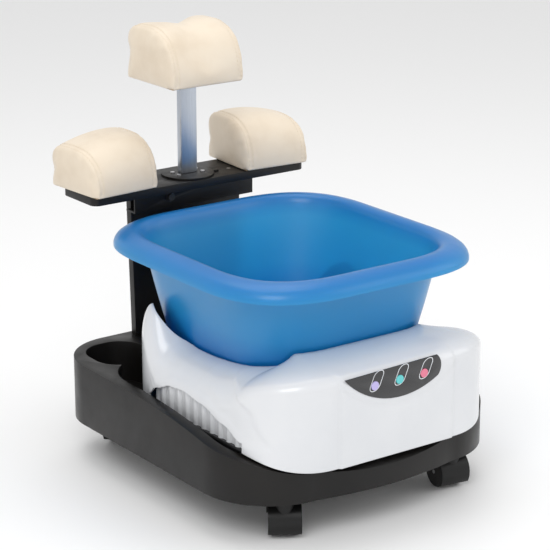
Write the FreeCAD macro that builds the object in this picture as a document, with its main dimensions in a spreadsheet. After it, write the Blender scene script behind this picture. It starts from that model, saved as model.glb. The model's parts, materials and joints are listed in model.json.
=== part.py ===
"""Portable pedicure cart: a moulded tray on four twin-wheel casters that carries a
heated foot bath with a lift-out basin, and a steel column with a padded footrest.

Millimetres.  +Z is up, +Y points to the rear (the footrest side) and X = 0 is the
plane of symmetry.  The origin is on the floor, under the middle of the cart.
"""
import FreeCAD, Part
import Sketcher
import math
import os
from FreeCAD import Placement, Rotation, Vector

os.makedirs("parts", exist_ok=True)
DOC = FreeCAD.newDocument("PedicureCart")

# ---------------------------------------------------------------------------
# Driving dimensions
# ---------------------------------------------------------------------------
SIZES = [
    # tray
    ("tray_width", 458, "overall width of the tray"),
    ("tray_front", 278.5, "origin to the front edge of the tray"),
    ("tray_rear", 242.5, "origin to the rear edge of the tray"),
    ("tray_bottom", 60, "floor to the underside of the tray"),
    ("tray_rear_top", 154, "floor to the rear rim"),
    ("tray_front_top", 90, "floor to the front rim"),
    ("tray_front_corner", 110, "front corner radius of the tray"),
    ("tray_rear_corner", 85, "rear corner radius of the tray"),
    ("tray_bow", 14, "how far the front edge bows out"),
    ("rim_width", 18, "width of the tray's rim"),
    ("well_floor", 76, "floor to the bottom of the bath's well"),
    ("well_rear", 142, "origin to the rear wall of the well"),
    ("recess_floor", 92, "floor to the bottom of the bottle recesses"),
    ("recess_width", 90, "width of a bottle recess"),
    ("recess_length", 98, "front to rear length of a bottle recess"),
    ("tray_skin", 5, "wall left under and inside the tray's cavity"),
    # casters
    ("wheel_radius", 23, "caster wheel radius"),
    ("wheel_thick", 13, "caster wheel width"),
    ("hood_width", 46, "caster width over both wheels"),
    ("hood_web", 15, "width of the hood's middle web"),
    ("hood_wall", 2.4, "wall of the caster hood"),
    ("caster_trail", 15, "stem to wheel axle, measured level"),
    ("caster_front", 230, "origin to the front caster stems"),
    ("caster_rear", 190, "origin to the rear caster stems"),
    ("caster_reach", 148, "origin to a caster stem, sideways"),
    ("stem_radius", 5, "caster stem radius"),
    ("stem_length", 11.5, "caster stem length above the hood"),
    ("axle_radius", 3, "caster axle radius"),
    ("running_gap", 0.05, "radial clearance of a running fit"),
    # bath
    ("bath_width", 406, "width of the bath's base"),
    ("bath_front", 284.5, "origin to the bath's front wall"),
    ("bath_rear", 118.5, "origin to the bath's rear wall"),
    ("bath_front_corner", 100, "front corner radius of the bath"),
    ("bath_rear_corner", 140, "rear corner radius of the bath"),
    ("shell_bottom", 128, "floor to the lower edge of the bath's upper shell"),
    ("shell_side_top", 226, "floor to the dip in the shell's side"),
    ("shell_front_top", 252, "floor to the shell's front crown"),
    ("shell_horn_top", 268, "floor to the shell's rear horns"),
    ("shell_lean", 34, "how far the shell's wall leans in by its top"),
    ("shell_wall", 3, "wall of the bath's moulded shells"),
    ("pan_inset", 10, "step in from the upper shell to the bottom pan"),
    ("pan_front", 236, "origin to the front wall of the bottom pan"),
    ("foot_height", 4, "height of the bath's rubber feet"),
    ("bib_width", 208, "width of the front bib"),
    ("bib_proud", 3, "how far the bib stands out of the front wall"),
    ("bib_bottom", 107, "floor to the bib's lower edge"),
    ("bib_top", 238, "floor to the bib's top edge"),
    ("vent_length", 250, "length of a side vent"),
    ("vent_height", 50, "height of a side vent"),
    ("vent_rib_pitch", 20, "spacing of the vent's flutes"),
    # basin
    ("basin_width", 410, "width over the basin's rolled rim"),
    ("basin_depth", 438, "depth over the basin's rolled rim"),
    ("basin_rear", 180.5, "origin to the rear of the basin's rim"),
    ("basin_corner", 99, "corner radius of the basin's rim"),
    ("basin_top", 355, "floor to the top of the basin's rim"),
    ("basin_floor", 168, "floor to the underside of the basin"),
    ("basin_wall", 3, "wall of the basin"),
    ("lip_width", 34, "width of the basin's rolled rim"),
    ("lip_height", 16, "height of the basin's rolled rim"),
    ("basin_taper", 46, "how far the basin's wall leans in by its floor"),
    # massage motor
    ("motor_radius", 18, "motor body radius"),
    ("motor_length", 56, "motor body length"),
    ("motor_height", 112, "floor to the motor's axis"),
    ("shaft_radius", 2.5, "motor shaft radius"),
    # controls
    ("button_radius", 6.2, "control button radius"),
    ("button_pitch", 42.5, "spacing of the control buttons"),
    ("button_height", 214, "floor to the middle of the buttons"),
    ("button_travel", 0.8, "travel of a button"),
    ("button_gap", 0.25, "radial clearance round a button"),
    ("overlay_thick", 1, "thickness of the control overlay"),
    ("board_thick", 1.6, "thickness of the circuit board"),
    # column and footrest
    ("column_width", 198, "width of the column at its top"),
    ("column_foot_width", 184, "width of the column at its foot"),
    ("column_front", 224.5, "origin to the column's front face"),
    ("column_thick", 12, "front to rear size of the column's channel"),
    ("column_foot", 84, "floor to the lower end of the column"),
    ("steel_sheet", 3, "thickness of the footrest's steel"),
    ("bracket_width", 212, "width of the column's head bracket"),
    ("bracket_depth", 24, "front to rear size of the head bracket"),
    ("bracket_height", 38, "height of the head bracket"),
    ("crossbar_width", 378, "length of the crossbar"),
    ("crossbar_depth", 90, "front to rear size of the crossbar"),
    ("crossbar_height", 12, "height of the crossbar's flanges"),
    ("crossbar_top", 391, "floor to the top of the crossbar"),
    ("crossbar_front", 178.5, "origin to the crossbar's front flange"),
    ("disc_radius", 40, "turntable disc radius"),
    ("disc_thick", 3, "turntable disc thickness"),
    ("post_width", 28, "width of the footrest post"),
    ("post_thick", 11, "thickness of the footrest post"),
    ("post_height", 142, "length of the post above its disc"),
    ("board_height", 8, "thickness of a cushion's board"),
    ("leg_width", 116, "width of a leg cushion"),
    ("leg_depth", 114, "depth of a leg cushion"),
    ("foot_width", 132, "width of the foot cushion"),
    ("foot_depth", 122, "depth of the foot cushion"),
    ("leg_height", 80, "height of a leg cushion with its board"),
    ("foot_cushion_height", 88, "height of the foot cushion with its board"),
    ("leg_reach", 137.5, "origin to the middle of a leg cushion"),
    ("leg_rear", 228.6, "origin to the middle of the leg cushions"),
    ("dome_radius", 217, "radius of the dome along a leg cushion's top"),
    ("crest_place", 24, "how far a leg cushion's highest line lies inwards of its middle"),
    ("leg_toe", 4, "how far a leg cushion's outer end is turned forwards, in degrees"),
    # shared
    ("soft_gap", 0.3, "clearance round soft and loose pieces"),
    ("screw_radius", 2, "shank radius of the small screws"),
    ("bolt_radius", 3, "shank radius of the frame's bolts"),
    ("pivot_radius", 4, "shank radius of the turntable's pivot bolt"),
]

SHEET = DOC.addObject("Spreadsheet::Sheet", "Sizes")
for row, (alias, value, note) in enumerate(SIZES, start=1):
    SHEET.set("A%d" % row, note)
    SHEET.set("B%d" % row, str(value))
    SHEET.setAlias("B%d" % row, alias)
DOC.recompute()


class Length:
    """A size held both as a number and as the sheet expression that yields it."""

    def __init__(self, value, text):
        self.value = value
        self.text = text

    def __add__(self, other):
        other = as_length(other)
        return Length(self.value + other.value, "(%s + %s)" % (self.text, other.text))

    def __sub__(self, other):
        other = as_length(other)
        return Length(self.value - other.value, "(%s - %s)" % (self.text, other.text))

    def __mul__(self, other):
        other = as_length(other)
        return Length(self.value * other.value, "(%s * %s)" % (self.text, other.text))

    def __truediv__(self, other):
        other = as_length(other)
        return Length(self.value / other.value, "(%s / %s)" % (self.text, other.text))

    def __neg__(self):
        return Length(-self.value, "(0 - %s)" % self.text)

    def __radd__(self, other):
        return as_length(other) + self

    def __rsub__(self, other):
        return as_length(other) - self

    def __rmul__(self, other):
        return as_length(other) * self


def as_length(value):
    return value if isinstance(value, Length) else Length(float(value), repr(float(value)))


def size(alias):
    return Length(float(SHEET.get(alias)), "Sizes.%s" % alias)


S = {alias: size(alias) for alias, value, note in SIZES}

# Places that several pieces share.
HALF_TRAY = S["tray_width"] / 2
HALF_BATH = S["bath_width"] / 2
HALF_BASIN = S["basin_width"] / 2
PAN_BOTTOM = S["well_floor"] + S["foot_height"]
BIB_FRONT = -(S["bath_front"] + S["bib_proud"])
BASIN_MIDDLE = S["basin_rear"] - S["basin_depth"] / 2
CROSSBAR_UNDER = S["crossbar_top"] - S["steel_sheet"]
COLUMN_TOP = CROSSBAR_UNDER - 6
CROSSBAR_MIDDLE = S["crossbar_front"] + S["crossbar_depth"] / 2
POST_PLACE = CROSSBAR_MIDDLE - 4
DISC_TOP = S["crossbar_top"] + S["disc_thick"]
POST_TOP = DISC_TOP + S["post_height"]
CRADLE_TOP = S["basin_floor"] - S["soft_gap"] - 4
NODES = []


# ---------------------------------------------------------------------------
# Building blocks
# ---------------------------------------------------------------------------
def bind(obj, prop, length):
    """Set a property and tie it to the sheet."""
    length = as_length(length)
    if "." not in prop:
        setattr(obj, prop, length.value)
    obj.setExpression(prop, length.text)


def move(obj, x, y, z, turn=None):
    """Place a primitive; turn is (axis, degrees)."""
    axis, angle = turn or (Vector(0, 0, 1), 0)
    spot = [as_length(v) for v in (x, y, z)]
    obj.Placement = Placement(Vector(*[v.value for v in spot]), Rotation(axis, angle))
    for letter, v in zip("xyz", spot):
        obj.setExpression("Placement.Base.%s" % letter, v.text)
    return obj


def box(x, y, z, length, width, height):
    """A block from its lowest corner."""
    obj = DOC.addObject("Part::Box", "Block")
    bind(obj, "Length", length)
    bind(obj, "Width", width)
    bind(obj, "Height", height)
    return move(obj, x, y, z)


def bar(x, y, z, length, width, height):
    """A block centred sideways on x, from its front face and its underside."""
    return box(x - as_length(length) / 2, y, z, length, width, height)


AXIS_TURNS = {
    "z": (Vector(0, 0, 1), 0),
    "-z": (Vector(1, 0, 0), 180),
    "x": (Vector(0, 1, 0), 90),
    "y": (Vector(1, 0, 0), -90),
    "-y": (Vector(1, 0, 0), 90),
}


def rod(x, y, z, radius, height, axis="z"):
    """A cylinder that starts at a point and runs along an axis."""
    obj = DOC.addObject("Part::Cylinder", "Rod")
    bind(obj, "Radius", radius)
    bind(obj, "Height", height)
    return move(obj, x, y, z, AXIS_TURNS[axis])


def fuse(*pieces):
    obj = DOC.addObject("Part::MultiFuse", "Joined")
    obj.Shapes = list(pieces)
    return obj


def group(*pieces):
    """Identical pieces that share a node and stay separate solids."""
    obj = DOC.addObject("Part::Compound", "Set")
    obj.Links = list(pieces)
    return obj


def cut(base, *tools):
    tool = tools[0] if len(tools) == 1 else fuse(*tools)
    obj = DOC.addObject("Part::Cut", "Trimmed")
    obj.Base = base
    obj.Tool = tool
    return obj


def rounded(base, radius, chooser):
    """Fillet the edges of base that chooser picks."""
    DOC.recompute()
    obj = DOC.addObject("Part::Fillet", "Rounded")
    obj.Base = base
    obj.Edges = [(i, radius, radius) for i, e in enumerate(base.Shape.Edges, 1) if chooser(e)]
    return obj


def node(name, obj):
    """Name a finished sub-part."""
    obj.Label = name
    NODES.append(obj)
    return obj


def shape_node(name, shape, place=None):
    """A sub-part whose outline no primitive or sketch gives."""
    obj = DOC.addObject("Part::Feature", name)
    obj.Shape = shape
    obj.Placement = place or Placement()
    return node(name, obj)


def outline(half, front, rear, front_corner, rear_corner, z, front_bow=0.0):
    """A closed rounded outline; its front edge may bow out in the middle."""
    fc, rc = front_corner, rear_corner
    side = front + front_bow
    diag = 1 - math.sqrt(0.5)

    def at(x, y):
        return Vector(x, y, z)

    edges = [
        Part.makeLine(at(half, side + fc), at(half, rear - rc)),
        Part.Arc(at(half, rear - rc), at(half - rc * diag, rear - rc * diag), at(half - rc, rear)).toShape(),
        Part.makeLine(at(half - rc, rear), at(rc - half, rear)),
        Part.Arc(at(rc - half, rear), at(rc * diag - half, rear - rc * diag), at(-half, rear - rc)).toShape(),
        Part.makeLine(at(-half, rear - rc), at(-half, side + fc)),
        Part.Arc(at(-half, side + fc), at(fc * diag - half, side + fc * diag), at(fc - half, side)).toShape(),
    ]
    if front_bow:
        edges.append(Part.Arc(at(fc - half, side), at(0, front), at(half - fc, side)).toShape())
    else:
        edges.append(Part.makeLine(at(fc - half, side), at(half - fc, side)))
    edges.append(Part.Arc(at(half - fc, side), at(half - fc * diag, side + fc * diag),
                          at(half, side + fc)).toShape())
    return Part.Wire(edges)


def prism(wire, height):
    return Part.Face(wire).extrude(Vector(0, 0, height))


def side_cut(points, half_width, top):
    """A block with the given Y-Z underside, for trimming a top edge."""
    edges = []
    for kind, *pts in points:
        spots = [Vector(-half_width, y, z) for y, z in pts]
        edges.append(Part.Arc(*spots).toShape() if kind == "arc" else Part.makeLine(*spots))
    first = edges[0].Vertexes[0].Point
    last = edges[-1].Vertexes[-1].Point
    high_last = Vector(-half_width, last.y, top)
    high_first = Vector(-half_width, first.y, top)
    edges += [Part.makeLine(last, high_last), Part.makeLine(high_last, high_first),
              Part.makeLine(high_first, first)]
    return Part.Face(Part.Wire(edges)).extrude(Vector(2 * half_width, 0, 0))


def numbers(*names):
    return [S[name].value for name in names]


# ---------------------------------------------------------------------------
# Tray
# ---------------------------------------------------------------------------
def tray_rim_cut(drop=0.0):
    """The space above the tray's rim, which sweeps down from the rear to the front."""
    front, rear, rear_top, front_top = numbers("tray_front", "tray_rear", "tray_rear_top", "tray_front_top")
    fall = rear_top - front_top
    points = [
        ("line", (rear + 20, rear_top - drop), (10, rear_top - 0.06 * fall - drop)),
        ("arc", (10, rear_top - 0.06 * fall - drop), (-0.45 * front, rear_top - 0.25 * fall - drop),
         (-0.76 * front, rear_top - 0.5 * fall - drop)),
        ("arc", (-0.76 * front, rear_top - 0.5 * fall - drop), (-0.93 * front, rear_top - 0.78 * fall - drop),
         (-front, front_top - drop)),
        ("line", (-front, front_top - drop), (-front - 20, front_top - drop)),
    ]
    return side_cut(points, HALF_TRAY.value + 20, rear_top + 60)


def well_outline(z):
    rim = S["rim_width"].value
    return outline(HALF_TRAY.value - rim, -S["tray_front"].value + rim, S["well_rear"].value,
                   S["tray_front_corner"].value - rim, S["tray_rear_corner"].value - rim / 2, z,
                   S["tray_bow"].value)


def recess_outline(side, z, grow=0.0):
    """A bottle recess between the well, the rim and the column's foot."""
    width, length = numbers("recess_width", "recess_length")
    middle_x = side * (HALF_TRAY.value - S["rim_width"].value - 9 - width / 2)
    middle_y = S["tray_rear"].value - S["rim_width"].value - 4 - length / 2
    wire = outline(width / 2 + grow, -length / 2 - grow, length / 2 + grow,
                   width * 0.44 + grow, width * 0.44 + grow, 0)
    wire.Placement = Placement(Vector(middle_x, middle_y, z), Rotation(Vector(0, 0, 1), 0))
    return wire


def caster_spots():
    reach, front, rear = numbers("caster_reach", "caster_front", "caster_rear")
    return {
        "front_left": (-reach, -front, -33),
        "front_right": (reach, -front, -8),
        "rear_left": (-reach, rear, -52),
        "rear_right": (reach, rear, 24),
    }


def make_tray():
    bottom, rear_top, skin, rim = numbers("tray_bottom", "tray_rear_top", "tray_skin", "rim_width")
    front_top, floor = numbers("tray_front_top", "well_floor")
    half, front, rear = HALF_TRAY.value, -S["tray_front"].value, S["tray_rear"].value
    outer = prism(outline(half, front, rear, S["tray_front_corner"].value, S["tray_rear_corner"].value,
                          bottom, S["tray_bow"].value), rear_top - bottom)
    body = outer.cut(tray_rim_cut())
    body = body.cut(prism(well_outline(floor), rear_top))
    for side in (-1, 1):
        body = body.cut(prism(recess_outline(side, S["recess_floor"].value), rear_top))
    # the underside is hollow between the outer wall and the tubs
    cavity = prism(outline(half - skin, front + skin, rear - skin, S["tray_front_corner"].value - skin,
                           S["tray_rear_corner"].value - skin, bottom, S["tray_bow"].value),
                   rear_top - bottom)
    cavity = cavity.cut(tray_rim_cut(skin))
    cavity = cavity.cut(prism(outline(half - rim + skin, front + rim - skin, S["well_rear"].value + skin,
                                      S["tray_front_corner"].value - rim + skin,
                                      S["tray_rear_corner"].value - rim / 2 + skin,
                                      floor - skin, S["tray_bow"].value), rear_top))
    for side in (-1, 1):
        cavity = cavity.cut(prism(recess_outline(side, S["recess_floor"].value - skin, skin), rear_top))
    # a solid block holds the column's foot
    foot_half = S["column_foot_width"].value / 2 + 14
    foot_depth = S["column_thick"].value + 22
    block = Part.makeBox(2 * foot_half, foot_depth, rear_top,
                         Vector(-foot_half, S["column_front"].value - 14, bottom))
    cavity = cavity.cut(block)
    boss_radius = S["stem_radius"].value + 9
    for x, y, turn in caster_spots().values():
        cavity = cavity.cut(Part.makeCylinder(boss_radius, rear_top, Vector(x, y, bottom)))
    body = body.cut(cavity)
    for x, y, turn in caster_spots().values():
        socket = Part.makeCylinder(S["stem_radius"].value + S["running_gap"].value,
                                   S["stem_length"].value + 2, Vector(x, y, bottom - 1))
        body = body.cut(socket)
    body = body.cut(column_solid(S["soft_gap"].value / 3))
    for x, z in column_bolt_spots():
        hole = Part.makeCylinder(S["bolt_radius"].value + 0.1, 60,
                                 Vector(x, S["column_front"].value + 1, z), Vector(0, 1, 0))
        body = body.cut(hole)
    shape_node("cart_tray", body.removeSplitter())


# ---------------------------------------------------------------------------
# Casters
# ---------------------------------------------------------------------------
def make_caster(name, x, y, turn):
    """A hooded twin-wheel caster, built about its stem and then turned into place."""
    wheel, thick, width, web = numbers("wheel_radius", "wheel_thick", "hood_width", "hood_web")
    wall, trail, axle, gap = numbers("hood_wall", "caster_trail", "axle_radius", "running_gap")
    stem, stem_length, bottom = numbers("stem_radius", "stem_length", "tray_bottom")
    tyre_gap = 1.2
    across = Vector(1, 0, 0)
    centre = Vector(0, trail, wheel)
    place = Placement(Vector(x, y, 0), Rotation(Vector(0, 0, 1), turn))

    def disc(radius, half_width):
        return Part.makeCylinder(radius, 2 * half_width, centre - across * half_width, across)

    # hood: a curved cover over both wheels, a web between them and a collar for the stem
    cover = disc(wheel + tyre_gap + wall, width / 2).cut(disc(wheel + tyre_gap, width / 2))
    behind = Part.makeBox(width + 2, 60, 60, Vector(-width / 2 - 1, trail, wheel * 0.9 - 60))
    below = Part.makeBox(width + 2, 120, 20, Vector(-width / 2 - 1, trail - 60, -12))
    cover = cover.cut(behind).cut(below)
    web_disc = disc(wheel + tyre_gap + wall / 2, web / 2).cut(below)
    web_disc = web_disc.cut(Part.makeBox(width, 60, 60, Vector(-width / 2, trail + wheel * 0.5, wheel - 60)))
    under_tray = bottom - 0.5
    collar = Part.makeCylinder(13, under_tray - wheel - 12, Vector(0, 6, wheel + 12))
    collar = collar.cut(disc(wheel + tyre_gap, width / 2).cut(disc(wheel + 2 * tyre_gap, web / 2)))
    hood = cover.fuse(web_disc).fuse(collar)
    stem_hole_depth = 14
    hood = hood.cut(Part.makeCylinder(stem, stem_hole_depth + 1, Vector(0, 0, under_tray - stem_hole_depth)))
    hood = hood.cut(disc(axle + gap, width))
    shape_node("caster_hood_" + name, hood.removeSplitter(), place)

    pin = Part.makeCylinder(stem, stem_length + stem_hole_depth,
                            Vector(0, 0, under_tray - stem_hole_depth))
    pin = pin.makeChamfer(1, [pin.Edges[0]])
    shape_node("caster_stem_" + name, pin, place)

    shape_node("caster_axle_" + name, disc(axle, width / 2 - 1.5), place)
    wheels = []
    bore = disc(axle, width)
    for side in (-1, 1):
        inner = web / 2 + 0.5
        start = inner if side > 0 else -inner - thick
        tyre = Part.makeCylinder(wheel, thick, centre + across * start, across)
        outer_x = side * (inner + thick)
        rims = [e for e in tyre.Edges if e.isClosed() and e.BoundBox.XLength < 0.1
                and abs(e.BoundBox.XMin - outer_x) < 0.1]
        wheels.append(tyre.makeFillet(3.5, rims).cut(bore))
    shape_node("caster_wheels_" + name, Part.makeCompound(wheels), place)


# ---------------------------------------------------------------------------
# Bath: shells, controls and what is inside
# ---------------------------------------------------------------------------
def bath_block(inset, bottom, top):
    """The bath's leaning outer form, or its inside when inset by the wall."""
    half, front, rear = HALF_BATH.value - inset, -S["bath_front"].value + inset, S["bath_rear"].value - inset
    lean = S["shell_lean"].value
    front_corner = S["bath_front_corner"].value - inset
    rear_corner = S["bath_rear_corner"].value - inset
    sections = [outline(half - share * lean, front + 0.6 * share * lean, rear - 0.6 * share * lean,
                        front_corner - 8 * share, rear_corner - 20 * share, bottom + rise * (top - bottom))
                for rise, share in ((0, 0), (0.4, 0.1), (0.76, 0.42), (1, 1))]
    return Part.makeLoft(sections, True, False)


def saddle_cut(rise=0.0):
    """The space above the shell's edge: high at the front, dipped at the sides, horned behind."""
    front, rear = -S["bath_front"].value, S["bath_rear"].value
    dip, crown, horn = (v + rise for v in numbers("shell_side_top", "shell_front_top", "shell_horn_top"))
    points = [
        ("line", (front - 20, crown - 14), (front + 4, crown - 12)),
        ("arc", (front + 4, crown - 12), (front + 40, crown), (front + 80, crown - 4)),
        ("arc", (front + 80, crown - 4), (-150, dip + 3), (-90, dip)),
        ("arc", (-90, dip), (-20, dip + 10), (30, horn)),
        ("line", (30, horn), (rear + 20, horn - 6)),
    ]
    return side_cut(points, HALF_BATH.value + 20, horn + 80)


def basin_outline(inset, z, front_relief=0.0):
    half, depth = HALF_BASIN.value - inset, S["basin_depth"].value
    rear = S["basin_rear"].value - inset
    front = S["basin_rear"].value - depth + inset - front_relief
    return outline(half, front, rear, S["basin_corner"].value - inset * 0.4,
                   S["basin_corner"].value - inset * 0.4, z)


def basin_block(grow=0.0, low_extra=0.0, front_relief=0.0):
    """The tapered body of the basin, up to the underside of its rim.

    The relief opens the front of the hole that the basin drops through, because the
    basin is drawn forwards as it is lifted.
    """
    lip, taper, top, floor = numbers("lip_width", "basin_taper", "basin_top", "basin_floor")
    under = top - S["lip_height"].value
    low = basin_outline(lip + taper - grow, floor - low_extra, front_relief)
    middle = basin_outline(lip + taper - 12 - grow, floor + 14, front_relief)
    high = basin_outline(lip - grow, under)
    return Part.makeLoft([low, middle, high], True, True)


def make_bath_shell():
    wall, bottom, horn = numbers("shell_wall", "shell_bottom", "shell_horn_top")
    bib_half = S["bib_width"].value / 2
    bib_low, bib_high, proud = numbers("bib_bottom", "bib_top", "bib_proud")
    front = -S["bath_front"].value
    outer = bath_block(0, bottom, horn).fuse(
        Part.makeBox(2 * bib_half, proud + 16, bib_high - bib_low, Vector(-bib_half, front - proud, bib_low)))
    inner = bath_block(wall, bottom - 1, horn + 1).fuse(
        Part.makeBox(2 * (bib_half - wall), proud + 16, bib_high - wall - bib_low - wall,
                     Vector(-bib_half + wall, front - proud + wall, bib_low + wall)))
    # the inside stops below the top deck, which the basin drops through
    inner = inner.cut(saddle_cut(-wall))
    shell = outer.cut(inner).cut(saddle_cut())
    shell = shell.cut(basin_block(2.0, 4, 16))
    for side in (-1, 1):
        shell = shell.cut(vent_arch(side, S["soft_gap"].value / 3, 30))
    shell = shell.cut(button_holes(S["button_gap"].value, 40))
    solids = sorted(shell.Solids, key=lambda s: s.Volume)
    shape_node("bath_shell", solids[-1].removeSplitter())


def pan_outline(inset, z):
    step = S["pan_inset"].value + inset
    return outline(HALF_BATH.value - step, -S["pan_front"].value + inset, S["bath_rear"].value - step,
                   S["bath_front_corner"].value - step, S["bath_rear_corner"].value - step, z)


def make_pan():
    """The bath's bottom pan, with posts that carry the cradle plate."""
    wall, top = numbers("shell_wall", "shell_bottom")
    low = PAN_BOTTOM.value
    pan = prism(pan_outline(0, low), top + wall - low)
    pan = pan.cut(prism(pan_outline(wall, low + wall), top))
    # a flange under the upper shell closes the step between the two mouldings
    flange = prism(outline(HALF_BATH.value - wall - 0.2, -S["bath_front"].value + wall + 0.2,
                           S["bath_rear"].value - wall - 0.2, S["bath_front_corner"].value - wall,
                           S["bath_rear_corner"].value - wall, top), wall)
    flange = flange.cut(prism(pan_outline(wall, top - 1), 20))
    pan = pan.fuse(flange)
    for x, y in cradle_posts():
        pan = pan.fuse(Part.makeCylinder(7, CRADLE_TOP.value - 4 - low, Vector(x, y, low)))
    rear = S["bath_rear"].value - S["pan_inset"].value
    pan = pan.cut(Part.makeBox(22, 20, 16, Vector(-11, rear - 12, 99)))
    shape_node("bath_pan", pan.removeSplitter())


def cradle_posts():
    middle = BASIN_MIDDLE.value
    return [(sx * 96, middle - 20 + sy * 84) for sx in (-1, 1) for sy in (-1, 1)]


def make_cradle():
    """A plate that carries the basin, and the heating plate let into it."""
    thick = 4
    top = CRADLE_TOP.value + 4
    heater_half_x, heater_half_y = 60, 50
    middle = BASIN_MIDDLE.value
    plate = prism(outline(116, middle - 122, middle + 96, 40, 40, top - 2 * thick), 2 * thick)
    pocket = Part.makeBox(2 * heater_half_x, 2 * heater_half_y, thick + 1,
                          Vector(-heater_half_x, middle - 20 - heater_half_y, top - thick))
    plate = plate.cut(pocket)
    for x, y in cradle_posts():
        plate = plate.cut(Part.makeCylinder(S["screw_radius"].value, 20, Vector(x, y, top - 14)))
        plate = plate.cut(Part.makeCylinder(S["screw_radius"].value * 2 + 0.2, 5, Vector(x, y, top - 3)))
    shape_node("cradle_plate", plate)
    node("heating_plate", bar(0, BASIN_MIDDLE - 20 - heater_half_y, CRADLE_TOP, 2 * heater_half_x,
                              2 * heater_half_y, thick))
    screws = []
    for x, y in cradle_posts():
        head = rod(x, y, CRADLE_TOP + 1.2, S["screw_radius"] * 2, 2)
        shank = rod(x, y, CRADLE_TOP - 4, S["screw_radius"], 6)
        screws.append(fuse(head, shank))
    node("cradle_screws", group(*screws))


def make_bath_feet():
    reach_x, reach_y = 130, 90
    middle = (S["bath_rear"].value - S["pan_front"].value) / 2
    feet = [rod(sx * reach_x, middle + sy * reach_y, S["well_floor"] + S["soft_gap"], 12,
                S["foot_height"] - S["soft_gap"]) for sx in (-1, 1) for sy in (-1, 1)]
    node("bath_feet", group(*feet))


def vent_arch(side, grow=0.0, depth=8.0):
    """The arched side opening, as a solid through the shell's wall."""
    length, height, low = numbers("vent_length", "vent_height", "shell_bottom")
    rear = 24 + grow
    front = rear - length - 2 * grow
    x = side * (HALF_BATH.value + 4)
    top = low + height + grow
    a, b = Vector(x, front, low - 2), Vector(x, rear, low - 2)
    rear_low = Vector(x, rear, low + 0.35 * height)
    arch = Part.Arc(rear_low, Vector(x, rear - 0.33 * length, top), Vector(x, front, low + 6)).toShape()
    wire = Part.Wire([Part.makeLine(a, b), Part.makeLine(b, rear_low), arch,
                      Part.makeLine(Vector(x, front, low + 6), a)])
    return Part.Face(wire).extrude(Vector(-side * (depth + 4), 0, 0))


def wall_reach(y, inset):
    """How far the bath's upright wall stands from the middle at a place along it."""
    half, front, rear = HALF_BATH.value - inset, -S["bath_front"].value + inset, S["bath_rear"].value - inset
    front_corner = S["bath_front_corner"].value - inset
    rear_corner = S["bath_rear_corner"].value - inset
    past = max(y - (rear - rear_corner), 0)
    corner = rear_corner
    if y < front + front_corner:
        past = front + front_corner - y
        corner = front_corner
    return half - corner + math.sqrt(corner * corner - past * past)


def upright_ring(inset, thick, low, high):
    """A band that follows the bath's outline, straight up."""
    rings = []
    for step in (inset, inset + thick):
        rings.append(prism(outline(HALF_BATH.value - step, -S["bath_front"].value + step,
                                   S["bath_rear"].value - step, S["bath_front_corner"].value - step,
                                   S["bath_rear_corner"].value - step, low), high - low))
    return rings[0].cut(rings[1])


def make_vents():
    """Fluted grilles that fill the arches and stand on the pan's flange."""
    low, wall, pitch = numbers("shell_bottom", "shell_wall", "vent_rib_pitch")
    floor = low + wall + 0.1
    high = low + S["vent_height"].value + 10
    inset, thick, rib_radius = 7.4, 2.4, 7.0
    band = upright_ring(inset, thick, floor, high)
    core = prism(outline(HALF_BATH.value - inset - thick / 2, -S["bath_front"].value + inset + thick / 2,
                         S["bath_rear"].value - inset - thick / 2,
                         S["bath_front_corner"].value - inset - thick / 2,
                         S["bath_rear_corner"].value - inset - thick / 2, low), high - low)
    for side, name in ((-1, "vent_grille_left"), (1, "vent_grille_right")):
        ribs = []
        y = 24 - pitch * 0.6
        while y > 24 - S["vent_length"].value + pitch * 0.5:
            reach = wall_reach(y, inset + rib_radius - 3)
            ribs.append(Part.makeCylinder(rib_radius, high - floor, Vector(side * reach, y, floor)).cut(core))
            y -= pitch
        grille = band.multiFuse(ribs).common(vent_arch(side, 0.0, 24))
        solids = sorted(grille.Solids, key=lambda s: s.Volume)
        shape_node(name, solids[-1])


def button_spots():
    pitch, height = numbers("button_pitch", "button_height")
    return {"left": (-pitch, height), "middle": (0, height), "right": (pitch, height)}


def button_holes(grow, depth):
    """Round holes for the buttons, through the bib's front wall."""
    radius = S["button_radius"].value + grow
    start = BIB_FRONT.value - 5
    holes = [Part.makeCylinder(radius, depth * 0.5, Vector(x, start, z), Vector(0, 1, 0))
             for x, z in button_spots().values()]
    return holes[0].multiFuse(holes[1:])


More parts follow.
